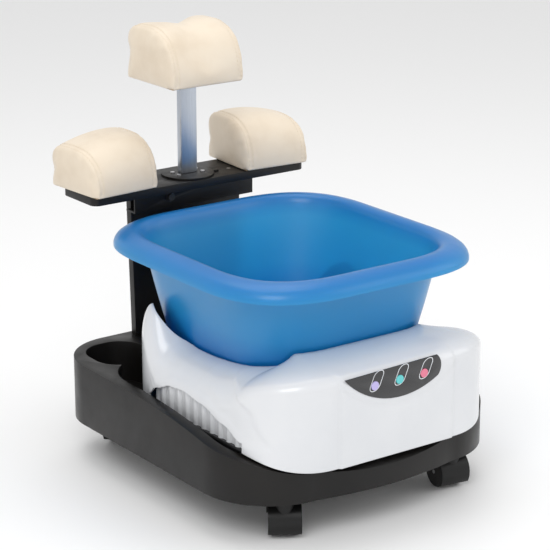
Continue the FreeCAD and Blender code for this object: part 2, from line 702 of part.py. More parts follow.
def make_controls():
    front = BIB_FRONT.value
    thick, board = numbers("overlay_thick", "board_thick")
    half = S["bib_width"].value / 2
    high = S["button_height"].value

    def at(x, z):
        return Vector(x, front, z)

    # overlay: a pointed left end, a straight top, a round right end and a bellied lower edge
    right = 0.70 * half
    edges = [
        Part.makeLine(at(-0.9 * half, high + 18), at(right - 8, high + 22)),
        Part.Arc(at(right - 8, high + 22), at(right, high + 8), at(right - 5, high - 8)).toShape(),
        Part.Arc(at(right - 5, high - 8), at(0, high - 25), at(-0.9 * half, high + 18)).toShape(),
    ]
    overlay = Part.Face(Part.Wire(edges)).extrude(Vector(0, -thick, 0))
    overlay = overlay.cut(button_holes(S["button_gap"].value, 60))
    shape_node("control_overlay", overlay)

    # a slanted silver ring stands round each button
    frames = []
    for x, z in button_spots().values():
        frames.append(slanted_ring(x + 2.5, z + 6, front - thick))
    shape_node("button_frames", Part.makeCompound(frames))

    for name, (x, z) in button_spots().items():
        cap = rod(x, BIB_FRONT - S["overlay_thick"] - 1, z, S["button_radius"], 7, "y")
        flange = rod(x, BIB_FRONT + S["shell_wall"] + 0.2, z, S["button_radius"] + 1.2, 1.5, "y")
        stem = rod(x, BIB_FRONT + 4, z, 2, 6, "y")
        node("button_" + name, fuse(cap, flange, stem))

    # the circuit board stands on spacers behind the bib, with a switch for each button
    depth, board_half, board_tall = 15, 70, 40
    board_low = high - 26
    middle = board_low + board_tall / 2
    spots = [(sx * (board_half - 8), middle + sz * 14) for sx in (-1, 1) for sz in (-1, 1)]
    drills = [rod(x, BIB_FRONT + depth - 1, z, S["screw_radius"], 4, "y") for x, z in spots]
    sheet = bar(0, BIB_FRONT + depth, board_low, 2 * board_half, board, board_tall)
    node("control_board", cut(sheet, *drills))
    switches = [bar(x, BIB_FRONT + depth - 4, z - 3, 6, 4, 6) for x, z in button_spots().values()]
    node("button_switches", group(*switches))
    inside = BIB_FRONT + S["shell_wall"]
    spacer_length = depth - S["shell_wall"]
    spacers, screws = [], []
    for x, z in spots:
        spacers.append(cut(rod(x, inside, z, 4, spacer_length, "y"),
                           rod(x, inside, z, S["screw_radius"], spacer_length, "y")))
        screws.append(fuse(rod(x, BIB_FRONT + depth + board, z, 3.6, 2, "y"),
                           rod(x, inside, z, S["screw_radius"], spacer_length + board, "y")))
    node("board_spacers", group(*spacers))
    node("board_screws", group(*screws))


def slanted_ring(x, z, y):
    """A stadium-shaped ring that leans over its button."""
    half_wide, half_tall, line = 9.5, 17.0, 1.3
    lean = -16

    def stadium(shrink):
        r = half_wide - shrink
        h = half_tall - half_wide
        edges = [
            Part.Arc(Vector(-r, 0, h), Vector(0, 0, h + r), Vector(r, 0, h)).toShape(),
            Part.makeLine(Vector(r, 0, h), Vector(r, 0, -h)),
            Part.Arc(Vector(r, 0, -h), Vector(0, 0, -h - r), Vector(-r, 0, -h)).toShape(),
            Part.makeLine(Vector(-r, 0, -h), Vector(-r, 0, h)),
        ]
        return Part.Face(Part.Wire(edges))

    ring = stadium(0).cut(stadium(line)).extrude(Vector(0, -0.6, 0))
    ring.Placement = Placement(Vector(x, y, z), Rotation(Vector(0, 1, 0), -lean))
    return ring


def make_motor():
    """The vibration motor under the cradle: body, saddle clamp, shaft and offset weight."""
    radius, length = S["motor_radius"], S["motor_length"]
    height, shaft = S["motor_height"], S["shaft_radius"]
    middle = BASIN_MIDDLE - 20
    gap = S["running_gap"]
    body = cut(rod(-length / 2, middle, height, radius, length, "x"),
               rod(-length / 2 - 1, middle, height, shaft + gap, length + 2, "x"))
    node("massage_motor", body)
    node("motor_shaft", rod(-length / 2 - 4, middle, height, shaft, length + 26, "x"))
    weight = cut(rod(length / 2 + 4, middle, height, 13, 12, "x"),
                 bar(length / 2 + 10, middle - 14, height, 20, 28, 14),
                 rod(length / 2, middle, height, shaft, 30, "x"))
    node("offset_weight", weight)
    floor = PAN_BOTTOM + S["shell_wall"]
    saddle = cut(bar(0, middle - radius - 4, floor, 40, 2 * radius + 8, height - floor),
                 rod(-30, middle, height, radius + gap, 60, "x"))
    node("motor_saddle", saddle)
    strap = cut(rod(-15, middle, height, radius + 2, 30, "x"),
                rod(-16, middle, height, radius + gap, 32, "x"),
                bar(0, middle - 40, height - 40, 60, 80, 40))
    ears = [bar(0, middle + start, height, 30, 3.9, 3) for start in (radius + 0.1, -radius - 4)]
    node("motor_strap", fuse(strap, *ears))


def make_inlet():
    """Mains inlet in the rear of the pan."""
    rear = S["bath_rear"] - S["pan_inset"]
    block = cut(bar(0, rear - S["shell_wall"] - 16, 96, 28, 16, 22),
                bar(0, rear - S["shell_wall"] - 12, 99, 22, 20, 16))
    node("power_inlet", block)
    pins = [bar(px, rear - S["shell_wall"] - 12, pz, 2, 9, 4) for px, pz in ((-6, 103), (0, 108), (6, 103))]
    node("inlet_pins", group(*pins))


# ---------------------------------------------------------------------------
# Basin
# ---------------------------------------------------------------------------
def make_basin():
    wall, lip, top, lip_height = numbers("basin_wall", "lip_width", "basin_top", "lip_height")
    under = top - lip_height
    body = basin_block(0.0)
    rim = prism(basin_outline(0, under), lip_height)
    roll = 6
    rim = rim.makeFillet(roll, [e for e in rim.Edges if abs(e.BoundBox.ZLength) < 0.01
                                and abs(e.CenterOfMass.z - top) < 0.01])
    hollow_low = basin_outline(lip + S["basin_taper"].value + wall, S["basin_floor"].value + wall)
    hollow_mid = basin_outline(lip + S["basin_taper"].value - 12 + wall, S["basin_floor"].value + 14 + wall)
    hollow_high = basin_outline(lip + wall, under + 1)
    hollow = Part.makeLoft([hollow_low, hollow_mid, hollow_high], True, True)
    mouth = prism(basin_outline(lip + wall, under), lip_height + 1)
    # the rolled rim is hollow underneath
    groove = prism(basin_outline(wall, under - 1), lip_height - 5).cut(
        prism(basin_outline(lip, under - 1), lip_height - 5))
    basin = body.fuse(rim).cut(hollow).cut(mouth).cut(groove)
    solids = sorted(basin.Solids, key=lambda s: s.Volume)
    shape_node("basin", solids[-1].removeSplitter())


# ---------------------------------------------------------------------------
# Column and footrest
# ---------------------------------------------------------------------------
def column_solid(grow=0.0):
    """The tapered outside of the column's channel."""
    half_top = S["column_width"].value / 2 + grow
    half_foot = S["column_foot_width"].value / 2 + grow
    low, high = S["column_foot"].value - grow, COLUMN_TOP.value
    y = S["column_front"].value - grow
    wire = Part.makePolygon([Vector(-half_foot, y, low), Vector(half_foot, y, low), Vector(half_top, y, high),
                             Vector(-half_top, y, high), Vector(-half_foot, y, low)])
    return Part.Face(wire).extrude(Vector(0, S["column_thick"].value + 2 * grow, 0))


def column_bolt_spots():
    return [(x, z) for x in (-60, 60) for z in (104, 134)]


def make_column():
    """A tapered steel channel, open to the rear, with its foot in the tray."""
    body = DOC.addObject("PartDesign::Body", "ColumnChannel")
    plane = [f for f in body.Origin.OriginFeatures if f.Role == "XZ_Plane"][0]
    low, high = S["column_foot"], COLUMN_TOP

    def trapezoid(name, inset, front):
        sk = body.newObject("Sketcher::SketchObject", name)
        sk.AttachmentSupport = [(plane, "")]
        sk.MapMode = "FlatFace"
        sk.AttachmentOffset = Placement(Vector(0, 0, -as_length(front).value), Rotation())
        sk.setExpression("AttachmentOffset.Base.z", (-as_length(front)).text)
        corners = [(-(S["column_foot_width"] / 2 - inset), low), (S["column_foot_width"] / 2 - inset, low),
                   (S["column_width"] / 2 - inset, high), (-(S["column_width"] / 2 - inset), high)]
        for i, (u, v) in enumerate(corners):
            nu, nv = corners[(i + 1) % 4]
            edge = Part.LineSegment(Vector(u.value, v.value, 0), Vector(nu.value, nv.value, 0))
            sk.addGeometry(edge, False)
        for i in range(4):
            sk.addConstraint(Sketcher.Constraint("Coincident", i, 2, (i + 1) % 4, 1))
        for i, (u, v) in enumerate(corners):
            cu = sk.addConstraint(Sketcher.Constraint("DistanceX", -1, 1, i, 1, u.value))
            sk.setExpression("Constraints[%d]" % cu, u.text)
            cv = sk.addConstraint(Sketcher.Constraint("DistanceY", -1, 1, i, 1, v.value))
            sk.setExpression("Constraints[%d]" % cv, v.text)
        return sk

    pad = body.newObject("PartDesign::Pad", "Channel")
    pad.Profile = trapezoid("ChannelOutline", 0, S["column_front"])
    bind(pad, "Length", S["column_thick"])
    pad.Reversed = True
    DOC.recompute()
    solid_volume = pad.Shape.Volume
    pocket = body.newObject("PartDesign::Pocket", "ChannelInside")
    pocket.Profile = trapezoid("InsideOutline", S["steel_sheet"], S["column_front"] + S["steel_sheet"])
    bind(pocket, "Length", S["column_thick"])
    pocket.Reversed = False
    DOC.recompute()
    if pocket.Shape.isNull() or pocket.Shape.Volume > 0.9 * solid_volume:
        pocket.Reversed = True
        DOC.recompute()
    if pocket.Shape.Volume > 0.9 * solid_volume:
        raise RuntimeError("the column's channel was not hollowed")
    return body


def finish_column():
    """Drill the column for its foot bolts, which come in through the tray's rear wall."""
    channel = make_column()
    holes = [rod(x, S["column_front"] - 2, z, S["bolt_radius"], 8, "y") for x, z in column_bolt_spots()]
    node("column", cut(channel, *holes))
    bolts = []
    for x, z in column_bolt_spots():
        head = rod(x, S["tray_rear"], z, 5.2, 2.5, "y")
        shank = rod(x, S["column_front"], z, S["bolt_radius"], S["tray_rear"] - S["column_front"], "y")
        bolts.append(fuse(head, shank))
    node("column_foot_bolts", group(*bolts))


def make_bracket():
    """A folded bracket between the column's head and the crossbar, and its clamp bolt."""
    sheet = S["steel_sheet"]
    front = S["column_front"] - S["bracket_depth"]
    low = CROSSBAR_UNDER - S["bracket_height"]
    outer = bar(0, front, low, S["bracket_width"], S["bracket_depth"], S["bracket_height"])
    inner = bar(0, front + sheet, low + sheet, S["bracket_width"] + 2, S["bracket_depth"],
                S["bracket_height"] - 2 * sheet)
    bolt_x, bolt_z = -44, CROSSBAR_UNDER - 21
    top_holes = [rod(x, y, CROSSBAR_UNDER - 5, S["bolt_radius"], 10) for x, y in crossbar_bolt_spots()]
    top_holes.append(rod(0, POST_PLACE, CROSSBAR_UNDER - 5, S["pivot_radius"] + 7, 10))
    node("head_bracket", cut(outer, inner, *top_holes,
                             rod(bolt_x, front - 1, bolt_z, S["bolt_radius"], 10, "y")))
    bolt = fuse(rod(bolt_x, front - 5, bolt_z, 5.5, 4, "y"), rod(bolt_x, front - 1, bolt_z, 7.5, 1, "y"),
                rod(bolt_x, front, bolt_z, S["bolt_radius"], S["bracket_depth"], "y"))
    node("head_clamp_bolt", bolt)


def crossbar_bolt_spots():
    return [(sx * 70, S["column_front"] - S["bracket_depth"] / 2) for sx in (-1, 1)]


def make_crossbar():
    """A shallow steel channel with rounded corners, open downwards."""
    sheet = S["steel_sheet"]
    height = S["crossbar_height"]
    low = S["crossbar_top"] - height

    def upright(e):
        return abs(e.BoundBox.XLength) < 0.01 and abs(e.BoundBox.YLength) < 0.01

    outer = rounded(bar(0, S["crossbar_front"], low, S["crossbar_width"], S["crossbar_depth"], height),
                    12, upright)
    inner = rounded(bar(0, S["crossbar_front"] + sheet, low - 1, S["crossbar_width"] - 2 * sheet,
                        S["crossbar_depth"] - 2 * sheet, height - sheet + 1), 9, upright)
    holes = [rod(x, y, low, S["bolt_radius"], 30) for x, y in crossbar_bolt_spots()]
    holes += [rod(x, y, low, S["screw_radius"], 30) for x, y in leg_screw_spots()]
    holes.append(rod(0, POST_PLACE, low, S["pivot_radius"] + S["running_gap"], 30))
    node("crossbar", cut(outer, inner, *holes))
    bolts = []
    for x, y in crossbar_bolt_spots():
        head = rod(x, y, CROSSBAR_UNDER - sheet - 3, 5.5, 3)
        shank = rod(x, y, CROSSBAR_UNDER - sheet, S["bolt_radius"], 2 * sheet)
        bolts.append(fuse(head, shank))
    node("crossbar_bolts", group(*bolts))


def make_turntable():
    """The disc that the footrest post turns on, held by a shouldered pivot bolt."""
    gap = 0.2
    disc = rod(0, POST_PLACE, S["crossbar_top"] + gap, S["disc_radius"], S["disc_thick"] - gap)
    tab = bar(S["disc_radius"] + 1, POST_PLACE - 14, S["crossbar_top"] + gap, 12, 5, S["disc_thick"] - gap)
    spots = [(sx * 21, POST_PLACE + sy * 9) for sx in (-1, 1) for sy in (-1, 1)]
    holes = [rod(x, y, S["crossbar_top"], S["screw_radius"], 10) for x, y in spots]
    bore = rod(0, POST_PLACE, S["crossbar_top"], S["pivot_radius"], 10)
    node("turntable_disc", cut(fuse(disc, tab), bore, *holes))
    head_low = CROSSBAR_UNDER - gap - 3
    node("pivot_bolt", fuse(rod(0, POST_PLACE, head_low, S["pivot_radius"] + 4, 3),
                            rod(0, POST_PLACE, head_low, S["pivot_radius"], DISC_TOP - head_low)))
    screws = [fuse(rod(x, y, DISC_TOP, 3.4, 1.6), rod(x, y, S["crossbar_top"] + gap, S["screw_radius"],
                                                     S["disc_thick"] - gap)) for x, y in spots]
    node("turntable_screws", group(*screws))
    node("footrest_post", bar(0, POST_PLACE - S["post_thick"] / 2, DISC_TOP, S["post_width"],
                              S["post_thick"], S["post_height"]))


def cushion_shape(width, depth, height, dip, crest=None):
    """A D-shaped cushion: steep behind and curved down to the front.

    Its top is dipped in the middle, or domed along its width with the highest line at crest.
    """
    w, d = width / 2, depth / 2
    profile = [
        Part.makeLine(Vector(-w, -d, 0), Vector(-w, d, 0)),
        Part.makeLine(Vector(-w, d, 0), Vector(-w, d, height * 0.62)),
        Part.Arc(Vector(-w, d, height * 0.62), Vector(-w, d * 0.72, height * 0.92),
                 Vector(-w, d * 0.3, height)).toShape(),
        Part.Arc(Vector(-w, d * 0.3, height), Vector(-w, -d * 0.62, height * 0.72),
                 Vector(-w, -d, height * 0.16)).toShape(),
        Part.makeLine(Vector(-w, -d, height * 0.16), Vector(-w, -d, 0)),
    ]
    body = Part.Face(Part.Wire(profile)).extrude(Vector(2 * w, 0, 0))
    if dip:
        radius = 0.62 * (w * w + dip * dip) / (2 * dip)
        trough = Part.makeCylinder(radius, 3 * d, Vector(0, -1.5 * d, height - dip + radius), Vector(0, 1, 0))
        body = body.cut(trough)
    if crest is not None:
        radius = S["dome_radius"].value
        dome = Part.makeCylinder(radius, 3 * d, Vector(crest, -1.5 * d, height - radius), Vector(0, 1, 0))
        body = body.common(dome)
    return body


def leg_place(side):
    """Where a leg cushion's board sits on the crossbar."""
    return Placement(Vector(side * S["leg_reach"].value, S["leg_rear"].value, S["crossbar_top"].value),
                     Rotation(Vector(0, 0, 1), -side * S["leg_toe"].value))


def leg_screw_spots():
    """Two screws under each leg cushion's board, in line with the crossbar."""
    spots = []
    for side in (-1, 1):
        for step in (-14, 34):
            spot = leg_place(side).multVec(Vector(side * step, -8, 0))
            spots.append((spot.x, spot.y))
    return spots


def make_cushions():
    board, gap, board_inset = S["board_height"], S["soft_gap"], 6
    width, depth, height = numbers("leg_width", "leg_depth", "leg_height")
    above_board = Placement(Vector(0, 0, board.value), Rotation())
    for side, name in ((-1, "left"), (1, "right")):
        plate = Part.makeBox(width - 2 * board_inset, depth - 2 * board_inset, board.value - gap.value,
                             Vector(-width / 2 + board_inset, -depth / 2 + board_inset, 0))
        shape_node("leg_board_" + name, plate, leg_place(side))
        cushion = cushion_shape(width, depth, height - board.value, 0.0, -side * S["crest_place"].value)
        shape_node("leg_cushion_" + name, cushion, leg_place(side).multiply(above_board))
    screws = []
    for x, y in leg_screw_spots():
        head = rod(x, y, CROSSBAR_UNDER - 2.2, 4, 2.2)
        shank = rod(x, y, CROSSBAR_UNDER, S["screw_radius"], S["steel_sheet"])
        screws.append(fuse(head, shank))
    node("leg_screws", group(*screws))

    node("foot_board", bar(0, POST_PLACE - S["foot_depth"] / 2 + board_inset, POST_TOP,
                           S["foot_width"] - 2 * board_inset, S["foot_depth"] - 2 * board_inset, board - gap))
    width, depth, height = numbers("foot_width", "foot_depth", "foot_cushion_height")
    place = Placement(Vector(0, POST_PLACE.value, POST_TOP.value + board.value), Rotation())
    shape_node("foot_cushion", cushion_shape(width, depth, height - board.value, 16.0), place)


# ---------------------------------------------------------------------------
# Build and write
# ---------------------------------------------------------------------------
make_tray()
for caster_name, (spot_x, spot_y, yaw) in caster_spots().items():
    make_caster(caster_name, spot_x, spot_y, yaw)
make_bath_shell()
make_pan()
make_cradle()
make_bath_feet()
make_vents()
make_controls()
make_motor()
make_inlet()
make_basin()
finish_column()
make_bracket()
make_crossbar()
make_turntable()
make_cushions()
DOC.recompute()

for item in DOC.Objects:
    if "Invalid" in item.State or "Error" in item.State:
        raise RuntimeError("%s (%s) did not build: %s" % (item.Name, item.Label, item.State))
for item in NODES:
    if item.Shape.isNull() or not item.Shape.isValid():
        raise RuntimeError("%s has no valid shape" % item.Label)
for item in NODES:
    item.Shape.exportStep("parts/%s.step" % item.Label)
    print("%-30s solids %d  volume %.1f cm3" % (item.Label, len(item.Shape.Solids), item.Shape.Volume / 1000))
print(len(NODES), "sub-parts")
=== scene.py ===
import bpy
import json
import math
from mathutils import Matrix, Vector

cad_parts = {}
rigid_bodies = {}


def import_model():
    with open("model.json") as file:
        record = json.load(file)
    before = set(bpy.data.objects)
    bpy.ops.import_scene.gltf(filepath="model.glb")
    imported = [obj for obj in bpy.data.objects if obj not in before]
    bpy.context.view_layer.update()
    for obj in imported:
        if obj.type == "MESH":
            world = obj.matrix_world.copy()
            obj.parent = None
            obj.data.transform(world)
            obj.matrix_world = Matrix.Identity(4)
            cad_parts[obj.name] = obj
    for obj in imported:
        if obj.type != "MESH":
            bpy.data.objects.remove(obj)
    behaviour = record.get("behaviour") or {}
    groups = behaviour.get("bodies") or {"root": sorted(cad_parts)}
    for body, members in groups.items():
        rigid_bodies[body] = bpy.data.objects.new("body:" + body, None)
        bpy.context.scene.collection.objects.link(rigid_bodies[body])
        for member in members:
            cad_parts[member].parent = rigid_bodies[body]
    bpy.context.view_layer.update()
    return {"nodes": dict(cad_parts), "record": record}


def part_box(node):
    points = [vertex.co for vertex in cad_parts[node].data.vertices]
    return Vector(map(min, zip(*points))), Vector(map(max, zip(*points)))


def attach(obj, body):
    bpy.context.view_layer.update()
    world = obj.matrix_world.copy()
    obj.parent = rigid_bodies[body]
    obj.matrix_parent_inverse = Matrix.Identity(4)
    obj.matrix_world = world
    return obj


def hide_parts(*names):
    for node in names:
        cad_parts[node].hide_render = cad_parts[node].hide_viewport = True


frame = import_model()
scene = bpy.context.scene
scene.view_settings.view_transform = "Standard"
NODES = frame["nodes"]
BASIN_LOW, BASIN_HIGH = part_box("basin")
VENT_LOW, VENT_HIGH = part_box("vent_grille_left")


# ---------------------------------------------------------------------------
# Hand tools
# ---------------------------------------------------------------------------
def only(piece):
    """Select one piece and nothing else."""
    for other in bpy.context.view_layer.objects:
        other.select_set(other is piece)
    bpy.context.view_layer.objects.active = piece


def edit(piece):
    only(piece)
    bpy.ops.object.mode_set(mode="EDIT")


def leave():
    bpy.ops.object.mode_set(mode="OBJECT")


def pick(piece, kind, test):
    """Select the vertices, edges or faces of the piece in edit mode that pass the test.

    The test is given the middle and the normal, or for an edge the middle and the direction.
    """
    bpy.ops.mesh.select_mode(type=kind)
    bpy.ops.mesh.select_all(action="DESELECT")
    bpy.ops.object.mode_set(mode="OBJECT")
    mesh = piece.data
    if kind == "FACE":
        for face in mesh.polygons:
            face.select = test(face.center, face.normal)
    elif kind == "EDGE":
        for edge in mesh.edges:
            a, b = (mesh.vertices[i].co for i in edge.vertices)
            edge.select = test((a + b) / 2, (b - a))
    else:
        for vert in mesh.vertices:
            vert.select = test(vert.co, vert.normal)
    bpy.ops.object.mode_set(mode="EDIT")


def settle(piece):
    """Bake the piece's place into its mesh, so that its object sits at the origin."""
    only(piece)
    bpy.ops.object.transform_apply(location=True, rotation=True, scale=True)


def apply_all(piece):
    only(piece)
    for modifier in list(piece.modifiers):
        bpy.ops.object.modifier_apply(modifier=modifier.name)


def smooth(piece, degrees=35):
    only(piece)
    bpy.ops.object.shade_smooth_by_angle(angle=math.radians(degrees))


def outwards(piece):
    edit(piece)
    bpy.ops.mesh.select_all(action="SELECT")
    bpy.ops.mesh.remove_doubles(threshold=1e-5)
    bpy.ops.mesh.normals_make_consistent(inside=False)
    leave()


def dressed(piece, name, material, slot, body, *nodes):
    """Name a finished piece, give it its finish and hang it on its body."""
    piece.name = name
    piece.data.name = name
    piece.data.materials.clear()
    piece.data.materials.append(material)
    if nodes:
        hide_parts(*nodes)
    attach(piece, body)
    return piece


def softened(node, name, material, slot, body, width, segments=3, angle=32):
    """A piece taken from its node with its sharp arrises rounded over, as moulding leaves them."""
    piece = NODES[node].copy()
    piece.data = NODES[node].data.copy()
    piece.parent = None
    piece.modifiers.clear()
    scene.collection.objects.link(piece)
    for key in list(piece.keys()):
        del piece[key]
    edit(piece)
    bpy.ops.mesh.select_all(action="SELECT")
    bpy.ops.mesh.remove_doubles(threshold=2e-6)
    bpy.ops.mesh.dissolve_limited(angle_limit=math.radians(0.6))
    leave()
    bevel = piece.modifiers.new("Arris", "BEVEL")
    bevel.width = width
    bevel.segments = segments
    bevel.limit_method = "ANGLE"
    bevel.angle_limit = math.radians(angle)
    bevel.use_clamp_overlap = True
    bevel.harden_normals = False
    apply_all(piece)
    smooth(piece, 40)
    return dressed(piece, name, material, slot, body, node)


# ---------------------------------------------------------------------------
# Finishes
# ---------------------------------------------------------------------------
def finish(name, colour, roughness, metallic=0.0, **sockets):
    material = bpy.data.materials.new(name)
    material.use_nodes = True
    shader = material.node_tree.nodes["Principled BSDF"]
    shader.inputs["Base Color"].default_value = (*colour, 1)
    shader.inputs["Roughness"].default_value = roughness
    shader.inputs["Metallic"].default_value = metallic
    for key, value in sockets.items():
        shader.inputs[key.replace("_", " ")].default_value = value
    return material


def place_of(material, stretch=(1, 1, 1)):
    tree = material.node_tree
    coordinate = tree.nodes.new("ShaderNodeTexCoord")
    mapping = tree.nodes.new("ShaderNodeMapping")
    mapping.inputs["Scale"].default_value = stretch
    tree.links.new(coordinate.outputs["Object"], mapping.inputs["Vector"])
    return mapping.outputs["Vector"]


def noise(material, scale, detail=4, stretch=(1, 1, 1), rough=0.55):
    node = material.node_tree.nodes.new("ShaderNodeTexNoise")
    node.inputs["Scale"].default_value = scale
    node.inputs["Detail"].default_value = detail
    node.inputs["Roughness"].default_value = rough
    material.node_tree.links.new(place_of(material, stretch), node.inputs["Vector"])
    return node.outputs["Fac"]


def spread(material, source, low, high, start=0.3, stop=0.7):
    node = material.node_tree.nodes.new("ShaderNodeMapRange")
    node.inputs["From Min"].default_value = start
    node.inputs["From Max"].default_value = stop
    node.inputs["To Min"].default_value = low
    node.inputs["To Max"].default_value = high
    material.node_tree.links.new(source, node.inputs["Value"])
    return node.outputs["Result"]


def shades(material, source, *stops):
    node = material.node_tree.nodes.new("ShaderNodeValToRGB")
    ramp = node.color_ramp
    while len(ramp.elements) < len(stops):
        ramp.elements.new(0.5)
    for element, (spot, colour) in zip(ramp.elements, stops):
        element.position = spot
        element.color = (*colour, 1)
    material.node_tree.links.new(source, node.inputs["Fac"])
    return node.outputs["Color"]


def feed(material, socket, source):
    material.node_tree.links.new(source, material.node_tree.nodes["Principled BSDF"].inputs[socket])


def relief(material, source, depth, strength=1.0, below=None):
    node = material.node_tree.nodes.new("ShaderNodeBump")
    node.inputs["Distance"].default_value = depth
    node.inputs["Strength"].default_value = strength
    material.node_tree.links.new(source, node.inputs["Height"])
    if below:
        material.node_tree.links.new(below, node.inputs["Normal"])
    feed(material, "Normal", node.outputs["Normal"])
    return node.outputs["Normal"]


def moulded(name, dark, light, low, high, grain=900, depth=0.00006, **sockets):
    """Injection-moulded plastic: faint flow in its colour, uneven gloss and a fine grain."""
    material = finish(name, light, (low + high) / 2, 0.0, **sockets)
    feed(material, "Base Color", shades(material, noise(material, 7, 5), (0.3, dark), (0.72, light)))
    feed(material, "Roughness", spread(material, noise(material, 38, 6), low, high))
    relief(material, noise(material, grain, 3), depth, 0.6)
    return material


def leatherette():
    material = finish("cream_leatherette", (0.84, 0.74, 0.60), 0.42)
    shader = material.node_tree.nodes["Principled BSDF"]
    shader.inputs["Sheen Weight"].default_value = 0.15
    shader.inputs["Sheen Roughness"].default_value = 0.4
    tree = material.node_tree
    feed(material, "Base Color", shades(material, noise(material, 16, 6),
                                        (0.28, (0.70, 0.59, 0.455)), (0.5, (0.76, 0.655, 0.52)),
                                        (0.75, (0.79, 0.695, 0.565))))
    feed(material, "Roughness", spread(material, noise(material, 120, 4), 0.36, 0.50))
    pebbles = tree.nodes.new("ShaderNodeTexVoronoi")
    pebbles.feature = "DISTANCE_TO_EDGE"
    pebbles.inputs["Scale"].default_value = 750
    tree.links.new(place_of(material), pebbles.inputs["Vector"])
    grain = relief(material, spread(material, pebbles.outputs["Distance"], 0, 1, 0.0, 0.12), 0.00012, 0.45)
    relief(material, noise(material, 60, 3), 0.0008, 0.25, grain)
    return material


def brushed(name, colour, rough, stretch, metallic=1.0):
    material = finish(name, colour, rough, metallic)
    lines = noise(material, 60, 8, stretch, 0.7)
    feed(material, "Roughness", spread(material, lines, rough - 0.07, rough + 0.12))
    tone = [tuple(c * k for c in colour) for k in (0.8, 1.0, 1.12)]
    feed(material, "Base Color", shades(material, lines, (0.3, tone[0]), (0.5, tone[1]), (0.7, tone[2])))
    relief(material, lines, 0.00004, 0.5)
    return material


tray_black = moulded("tray_plastic", (0.0040, 0.0036, 0.0034), (0.0080, 0.0068, 0.0060), 0.30, 0.42, 700,
                     0.00009, Specular_IOR_Level=0.32)
caster_black = moulded("caster_plastic", (0.004, 0.004, 0.004), (0.008, 0.008, 0.008), 0.30, 0.45,
                       Specular_IOR_Level=0.35)
tread_black = moulded("caster_tread", (0.013, 0.013, 0.013), (0.024, 0.023, 0.022), 0.5, 0.68, 500, 0.0001)
dark_plastic = moulded("dark_plastic", (0.022, 0.022, 0.024), (0.034, 0.034, 0.036), 0.42, 0.56)
shell_white = moulded("white_shell", (0.66, 0.675, 0.70), (0.72, 0.73, 0.75), 0.21, 0.26, 420, 0.000008,
                      Coat_Weight=0.35, Coat_Roughness=0.12)
steel_black = moulded("black_steel", (0.0040, 0.0036, 0.0036), (0.0085, 0.0074, 0.0070), 0.36, 0.50, 1100,
                      0.00008, Specular_IOR_Level=0.35)
bolt_black = moulded("black_bolt", (0.014, 0.014, 0.014), (0.030, 0.030, 0.030), 0.35, 0.5)
cream = leatherette()
thread_cream = moulded("seam_thread", (0.70, 0.60, 0.46), (0.80, 0.70, 0.56), 0.5, 0.65, 2500, 0.0001)
aluminium = brushed("post_aluminium", (0.52, 0.56, 0.62), 0.34, (30, 30, 0.35))
zinc = brushed("fasteners", (0.58, 0.58, 0.60), 0.34, (6, 6, 6))
iron = moulded("motor_iron", (0.05, 0.05, 0.052), (0.09, 0.09, 0.09), 0.4, 0.6)
plywood = brushed("cushion_board", (0.42, 0.30, 0.18), 0.6, (0.6, 9, 9), 0.0)
film_black = moulded("control_film", (0.006, 0.006, 0.007), (0.010, 0.010, 0.012), 0.10, 0.16, 300, 0.00001,
                     Coat_Weight=0.6, Coat_Roughness=0.05)
silver_line = brushed("silver_line", (0.72, 0.74, 0.77), 0.25, (1, 1, 1))
lilac = moulded("lilac_button", (0.42, 0.36, 0.70), (0.56, 0.50, 0.82), 0.18, 0.26, Coat_Weight=0.5)
teal = moulded("teal_button", (0.05, 0.46, 0.50), (0.12, 0.60, 0.60), 0.18, 0.26, Coat_Weight=0.5)
rose = moulded("rose_button", (0.62, 0.10, 0.20), (0.78, 0.20, 0.30), 0.18, 0.26, Coat_Weight=0.5)
circuit = moulded("circuit_board", (0.01, 0.10, 0.04), (0.02, 0.16, 0.07), 0.3, 0.42)
rubber = moulded("rubber_feet", (0.012, 0.012, 0.012), (0.022, 0.022, 0.022), 0.6, 0.75)


def basin_finish():
    """Translucent blue polypropylene, its colour darker towards the base, paler up the wall and darker again
    at the top of the rim.
    """
    material = finish("basin_blue", (0.02, 0.24, 0.74), 0.32)
    shader = material.node_tree.nodes["Principled BSDF"]
    shader.inputs["Transmission Weight"].default_value = 0.42
    shader.inputs["IOR"].default_value = 1.42
    shader.inputs["Coat Weight"].default_value = 0.25
    shader.inputs["Coat Roughness"].default_value = 0.25
    tree = material.node_tree
    parts = tree.nodes.new("ShaderNodeSeparateXYZ")
    tree.links.new(place_of(material), parts.inputs["Vector"])
    height = spread(material, parts.outputs["Z"], 0, 1, 0.165, 0.356)
    base = shades(material, height, (0.0, (0.003, 0.10, 0.48)), (0.28, (0.008, 0.24, 0.66)),
                  (0.5, (0.022, 0.36, 0.74)), (0.85, (0.030, 0.40, 0.76)), (1.0, (0.008, 0.25, 0.66)))
    feed(material, "Base Color", base)
    feed(material, "Roughness", spread(material, noise(material, 30, 5), 0.30, 0.42))
    relief(material, noise(material, 240, 3), 0.00008, 0.5)
    return material


basin_blue = basin_finish()


# ---------------------------------------------------------------------------
# Basin
# ---------------------------------------------------------------------------
RIM_HANG = 0.0200           # the basin's top to the outer edge of its rolled rim
BASIN_CORNER = 0.150        # corner size of the rim's outline
BASIN_WALL = 0.0028


